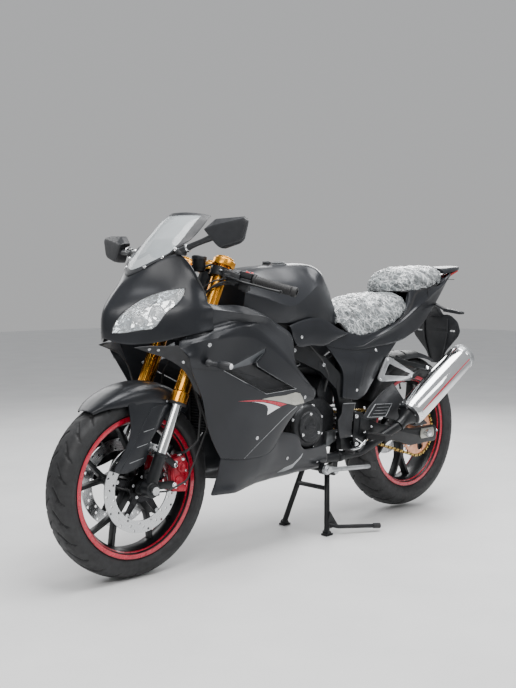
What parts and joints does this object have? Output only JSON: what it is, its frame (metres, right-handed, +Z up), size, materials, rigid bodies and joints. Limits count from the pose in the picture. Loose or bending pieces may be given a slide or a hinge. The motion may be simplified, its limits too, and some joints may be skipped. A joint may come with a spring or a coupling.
{
  "type": "sport bike",
  "caption": "Faired sport bike on its centre stand: steering fork, turning wheels, folding stands, hinged filler lid and two separate seats.",
  "frame": {"origin": "middle of the bounding box on the floor", "axes": "+X towards the tail, -X the way it rides, +Y its right side, +Z up"},
  "size_m": [2.069, 0.768, 1.166],
  "materials": {
    "graphite_paint": "satin",
    "black_plastic": "matte",
    "black_metal": "satin",
    "gold_metal": "polished",
    "chrome": "polished",
    "red_metal": "gloss",
    "bare_metal": "satin",
    "alloy": "satin",
    "tyre": "matte",
    "rubber": "matte",
    "clear_screen": "gloss",
    "seat": "satin",
    "lamp": "gloss"
  },
  "bodies": {
    "chassis": {"belly_fairing": "graphite_paint", "chain": "gold_metal", "chain_guard": "black_plastic", "engine": "black_metal", "exhaust_pipe": "black_metal", "footpeg_brackets": "black_metal", "front_signals": "black_plastic", "fuel_tank": "graphite_paint", "headlight_bowls": "chrome", "headlights": "clear_screen", "inner_fairing": "black_plastic", "instrument_panel": "black_plastic", "main_frame": "black_metal", "mirrors": "black_plastic", "nose_fairing": "graphite_paint", "pillion_brackets": "alloy", "pillion_seat": "seat", "pivot_shafts": "bare_metal", "plate_hanger": "black_plastic", "radiator": "black_metal", "rear_axle": "bare_metal", "rear_caliper": "black_metal", "rear_hugger": "black_plastic", "rear_shock": "black_metal", "rear_signals": "black_plastic", "rider_seat": "seat", "seat_subframe": "black_metal", "side_covers": "graphite_paint", "side_fairing_left": "graphite_paint", "side_fairing_right": "graphite_paint", "silencer": "bare_metal", "silencer_bracket": "black_metal", "swingarm": "black_metal", "tail_fairing": "graphite_paint", "tail_light": "lamp", "tail_spoiler": "black_plastic", "windscreen": "clear_screen"},
    "fork": {"fork_lowers": "black_metal", "fork_inner_tubes": "chrome", "fork_outer_tubes": "gold_metal", "lower_clamp": "black_metal", "upper_clamp": "gold_metal", "handlebars": "black_metal", "grips": "rubber", "bar_controls": "black_plastic", "front_fender": "graphite_paint", "front_calipers": "red_metal", "front_axle": "bare_metal", "fork_cables": "rubber"},
    "front_wheel": {"front_rim": "black_metal", "front_tyre": "tyre", "front_discs": "bare_metal"},
    "rear_wheel": {"rear_rim": "black_metal", "rear_tyre": "tyre", "rear_disc": "bare_metal", "rear_sprocket": "gold_metal"},
    "centre_stand": {"centre_stand": "black_metal"},
    "side_stand": {"side_stand": "alloy"},
    "fuel_lid": {"fuel_cap": "bare_metal"}
  },
  "joints": [
    {"name": "steering", "type": "hinge", "parent": "chassis", "child": "fork", "pos_m": [-0.71277, 0, 0.27998], "axis": [0.4067, 0, 0.9135], "range_deg": [-27, 27]},
    {"name": "front_wheel_spin", "type": "hinge", "parent": "fork", "child": "front_wheel", "pos_m": [-0.742, 0, 0.293], "axis": [0, 1, 0], "continuous": true},
    {"name": "rear_wheel_spin", "type": "hinge", "parent": "chassis", "child": "rear_wheel", "pos_m": [0.643, 0, 0.326], "axis": [0, 1, 0], "continuous": true},
    {"name": "centre_stand_fold", "type": "hinge", "parent": "chassis", "child": "centre_stand", "pos_m": [0.13, 0, 0.235], "axis": [0, -1, 0], "range_deg": [0, 80]},
    {"name": "side_stand_swing", "type": "hinge", "parent": "chassis", "child": "side_stand", "pos_m": [0.01, -0.165, 0.262], "axis": [0, 1, 0], "range_deg": [0, 100]},
    {"name": "fuel_lid_hinge", "type": "hinge", "parent": "chassis", "child": "fuel_lid", "pos_m": [-0.135, 0, 1.009], "axis": [0, -1, 0], "range_deg": [0, 95]}
  ]
}
